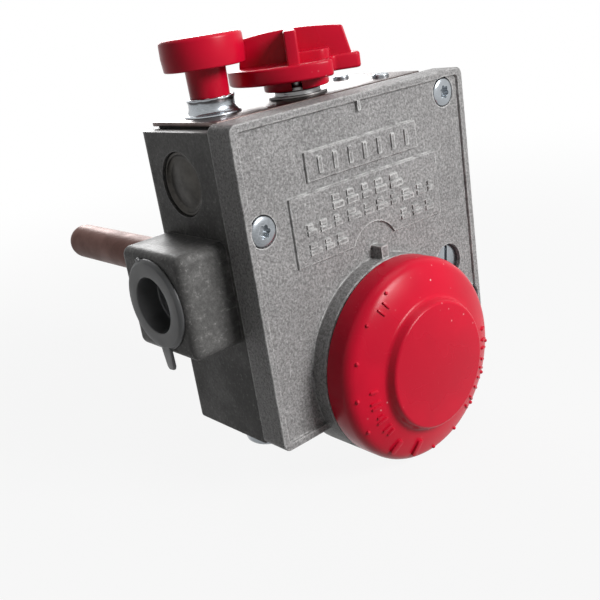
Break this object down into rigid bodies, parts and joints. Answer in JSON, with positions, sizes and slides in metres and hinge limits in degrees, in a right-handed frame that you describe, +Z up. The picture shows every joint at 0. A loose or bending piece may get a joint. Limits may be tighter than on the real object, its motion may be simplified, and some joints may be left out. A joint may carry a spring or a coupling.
{
  "type": "gas valve",
  "caption": "Storage water heater gas valve: cast body with probe, temperature dial, gas knob and reset button.",
  "frame": {"origin": "centre of the tank thread where it leaves the rear face of the casting", "axes": "+Y out of the rear along the probe, so the dial faces -Y; +Z up, towards the knob and button; +X to the right seen from the dial"},
  "size_m": [0.1127, 0.231, 0.1375],
  "materials": {
    "body_casting": "die cast, dull grey",
    "cover_casting": "die cast, light grey, slightly grained",
    "gasket_sheet": "matt sheet",
    "zinc_steel": "bright zinc plate",
    "plate_steel": "dull brown passivated sheet",
    "red_plastic": "moulded red, soft gloss",
    "spring_steel": "drawn wire",
    "machined_steel": "turned steel",
    "seal_rubber": "moulded rubber",
    "brass": "turned brass",
    "copper": "drawn copper, dulled",
    "plug_plastic": "soft clear grey plastic",
    "cup_steel": "pressed steel, dull"
  },
  "bodies": {
    "housing": {"valve_body": "body_casting", "inlet_boss": "body_casting", "cover_gasket": "gasket_sheet", "front_cover": "cover_casting", "cover_screws": "zinc_steel", "top_plate": "plate_steel", "plate_gasket": "gasket_sheet", "plate_screws": "zinc_steel", "button_ferrule": "zinc_steel", "button_spring": "spring_steel", "plunger_seal": "seal_rubber", "stem_bushing": "machined_steel", "stem_clip": "spring_steel", "cock_spring": "spring_steel", "safety_spring": "spring_steel", "magnet_housing": "brass", "magnet_core": "machined_steel", "magnet_coil": "copper", "magnet_spacer": "brass", "magnet_nut": "zinc_steel", "side_plug": "cup_steel", "tank_shank": "zinc_steel", "sensing_tube": "copper", "rod_anchor": "brass", "eco_fuse": "copper", "eco_lead": "seal_rubber", "dial_bushing": "brass", "dial_stop_pin": "machined_steel", "main_valve_spring": "spring_steel", "regulator_cap": "zinc_steel", "regulator_spring": "spring_steel", "diaphragm": "seal_rubber", "diaphragm_ring": "zinc_steel", "burner_outlet": "zinc_steel", "pilot_outlet": "brass", "pilot_filter": "brass", "pressure_tap_plug": "zinc_steel"},
    "button": {"pilot_button": "red_plastic", "button_plunger": "machined_steel"},
    "safety_valve": {"safety_disc": "machined_steel", "safety_seal": "seal_rubber", "safety_stem": "machined_steel", "armature": "machined_steel"},
    "gas_cock": {"gas_knob": "red_plastic", "cock_stem": "machined_steel", "cock_plug": "brass"},
    "dial": {"temperature_dial": "red_plastic", "dial_spindle": "machined_steel"},
    "fulcrum": {"fulcrum_carriage": "brass", "pivot_pin": "machined_steel"},
    "lever": {"thermostat_lever": "zinc_steel"},
    "rod": {"invar_rod": "machined_steel"},
    "main_valve": {"main_valve_disc": "machined_steel", "main_valve_seal": "seal_rubber", "snap_disc": "spring_steel"},
    "regulator_valve": {"regulator_plate": "machined_steel", "regulator_poppet": "seal_rubber"},
    "regulator_adjuster": {"regulator_screw": "brass"},
    "pilot_needle": {"pilot_adjuster": "brass"},
    "dust_plug": {"inlet_dust_plug": "plug_plastic"}
  },
  "joints": [
    {"name": "button_press", "type": "slide", "parent": "housing", "child": "button", "axis": [0, 0, 1], "range_m": [-0.0028, 0], "stiffness_N_per_m": 500, "springref_m": 0.008, "deforming": ["button_spring"]},
    {"name": "safety_lift", "type": "slide", "parent": "housing", "child": "safety_valve", "axis": [0, 0, 1], "range_m": [-0.0028, 0], "deforming": ["safety_spring"]},
    {"name": "knob_turn", "type": "hinge", "parent": "housing", "child": "gas_cock", "pos_m": [0, -0.0204, 0.072], "axis": [0, 0, 1], "range_deg": [0, 120]},
    {"name": "dial_turn", "type": "hinge", "parent": "housing", "child": "dial", "pos_m": [0, -0.056, -0.015], "axis": [0, -1, 0], "range_deg": [-135, 135]},
    {"name": "fulcrum_shift", "type": "slide", "parent": "housing", "child": "fulcrum", "axis": [0, -1, 0], "range_m": [-0.0004, 0.0004]},
    {"name": "rod_push", "type": "slide", "parent": "housing", "child": "rod", "axis": [0, -1, 0], "range_m": [0, 0.0008]},
    {"name": "lever_tilt", "type": "hinge", "parent": "fulcrum", "child": "lever", "pos_m": [0, -0.0336, -0.015], "axis": [1, 0, 0], "range_deg": [0, 3.1]},
    {"name": "main_valve_lift", "type": "slide", "parent": "housing", "child": "main_valve", "axis": [0, -1, 0], "range_m": [0, 0.0018], "deforming": ["main_valve_spring"]},
    {"name": "regulator_lift", "type": "slide", "parent": "housing", "child": "regulator_valve", "axis": [0, -1, 0], "range_m": [0, 0.0012], "stiffness_N_per_m": 300, "springref_m": -0.004, "deforming": ["regulator_spring", "diaphragm"]},
    {"name": "regulator_set", "type": "hinge", "parent": "housing", "child": "regulator_adjuster", "pos_m": [0.03342, -0.04, 0.00485], "axis": [0, -1, 0], "range_deg": [-170, 170]},
    {"name": "pilot_set", "type": "hinge", "parent": "housing", "child": "pilot_needle", "pos_m": [-0.008, -0.006, 0.028], "axis": [0, 1, 0], "range_deg": [-170, 170]},
    {"name": "dust_plug_pull", "type": "slide", "parent": "housing", "child": "dust_plug", "axis": [-1, 0, 0], "range_m": [0, 0.045]}
  ],
  "couplings": [
    {"joint": "safety_lift", "follows": "button_press", "ratio": 1},
    {"joint": "fulcrum_shift", "follows": "dial_turn", "m_per_rad": 0.0001592},
    {"joint": "lever_tilt", "follows": "rod_push", "rad_per_m": 66.667},
    {"joint": "main_valve_lift", "follows": "rod_push", "ratio": 2.2}
  ]
}
